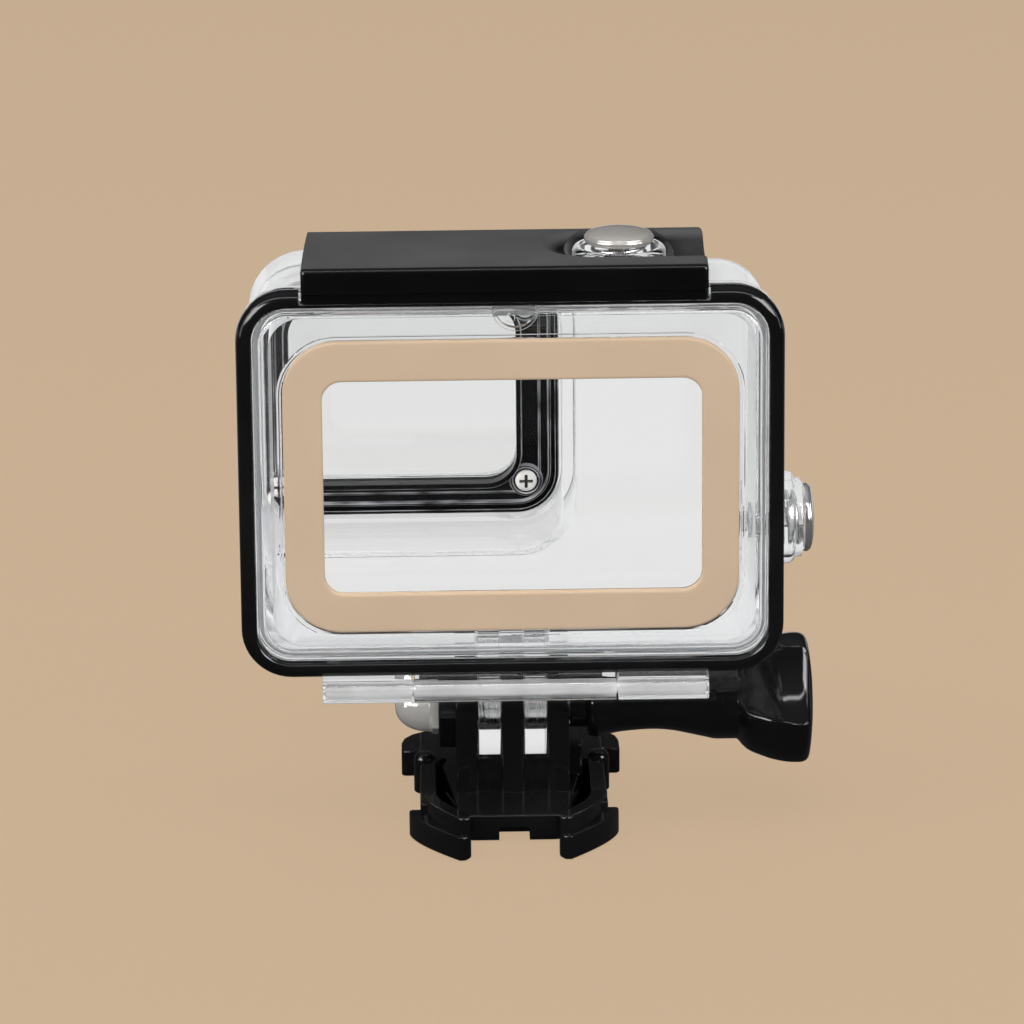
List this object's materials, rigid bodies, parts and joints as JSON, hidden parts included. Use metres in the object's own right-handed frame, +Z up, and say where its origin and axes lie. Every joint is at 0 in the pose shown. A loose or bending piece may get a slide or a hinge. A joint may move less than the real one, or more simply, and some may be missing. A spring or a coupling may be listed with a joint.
{
  "type": "underwater camera housing",
  "caption": "Clear moulded underwater housing for a small action camera, with a latched rear door, offset lens port, sprung buttons and a tilting quick-release buckle.",
  "frame": {"origin": "middle of the quick-release buckle's flat underside, below the tilt axis", "axes": "+Z up; -Y towards the viewer of the rear door; +Y the way the lens port looks; +X to the right when the door is viewed, towards the thumb screw"},
  "size_m": [0.0767, 0.048, 0.0821],
  "materials": {
    "clear_plastic": "clear polished polycarbonate",
    "port_glass": "clear polished",
    "clear_film": "clear thin film",
    "black_plastic": "glossy moulded black",
    "satin_black": "satin moulded black",
    "black_rubber": "smooth black silicone rubber",
    "silicone": "translucent grey silicone",
    "tan_frame": "matte tan",
    "chrome": "bright plated",
    "steel": "stainless"
  },
  "bodies": {
    "buckle": {"buckle_base": "black_plastic", "acorn_nut": "chrome"},
    "arm_right": {"squeeze_arm_right": "black_plastic"},
    "arm_left": {"squeeze_arm_left": "black_plastic"},
    "thumb_screw": {"thumb_knob": "black_plastic", "screw_rod": "steel"},
    "case": {"front_case": "clear_plastic", "port_glass": "port_glass", "port_gasket": "black_rubber", "port_retainer": "satin_black", "port_screw_1": "chrome", "port_screw_2": "chrome", "port_screw_3": "chrome", "port_screw_4": "chrome", "door_pin": "steel", "latch_pin_left": "steel", "latch_pin_right": "steel", "shutter_seal": "black_rubber", "mode_seal": "black_rubber", "shutter_spring": "steel", "mode_spring": "steel"},
    "door": {"rear_door": "clear_plastic", "door_ring": "black_rubber", "door_seal": "silicone", "touch_membrane": "clear_film", "membrane_frame": "tan_frame"},
    "latch": {"latch_cover": "satin_black"},
    "shutter_press": {"shutter_button": "chrome", "shutter_clip": "steel", "shutter_foot": "black_rubber"},
    "mode_press": {"mode_button": "chrome", "mode_clip": "steel", "mode_foot": "black_rubber"}
  },
  "joints": [
    {"name": "tilt", "type": "hinge", "parent": "buckle", "child": "case", "pos_m": [0, 0, 0.0145], "axis": [1, 0, 0], "range_deg": [-72, 30]},
    {"name": "thumb_screw_turn", "type": "hinge", "parent": "buckle", "child": "thumb_screw", "pos_m": [0, 0, 0.0145], "axis": [1, 0, 0], "continuous": true},
    {"name": "squeeze_right", "type": "hinge", "parent": "buckle", "child": "arm_right", "pos_m": [0.0109, 0.005, 0.003], "axis": [0, 0, -1], "range_deg": [0, 3], "stiffness_Nm_per_rad": 0.02, "springref_deg": -5.73},
    {"name": "squeeze_left", "type": "hinge", "parent": "buckle", "child": "arm_left", "pos_m": [-0.0109, 0.005, 0.003], "axis": [0, 0, 1], "range_deg": [0, 3], "stiffness_Nm_per_rad": 0.02, "springref_deg": -5.73},
    {"name": "door_hinge", "type": "hinge", "parent": "case", "child": "door", "pos_m": [0, -0.0152, 0.0218], "axis": [1, 0, 0], "range_deg": [0, 100]},
    {"name": "latch_hinge", "type": "hinge", "parent": "case", "child": "latch", "pos_m": [0, 0.0012, 0.0783], "axis": [-1, 0, 0], "range_deg": [0, 90]},
    {"name": "shutter_slide", "type": "slide", "parent": "case", "child": "shutter_press", "axis": [0, 0, -1], "range_m": [0, 0.0015], "stiffness_N_per_m": 300, "springref_m": -0.0015, "deforming": ["shutter_spring"]},
    {"name": "mode_slide", "type": "slide", "parent": "case", "child": "mode_press", "axis": [-1, 0, 0], "range_m": [0, 0.0015], "stiffness_N_per_m": 300, "springref_m": -0.0015, "deforming": ["mode_spring"]}
  ]
}
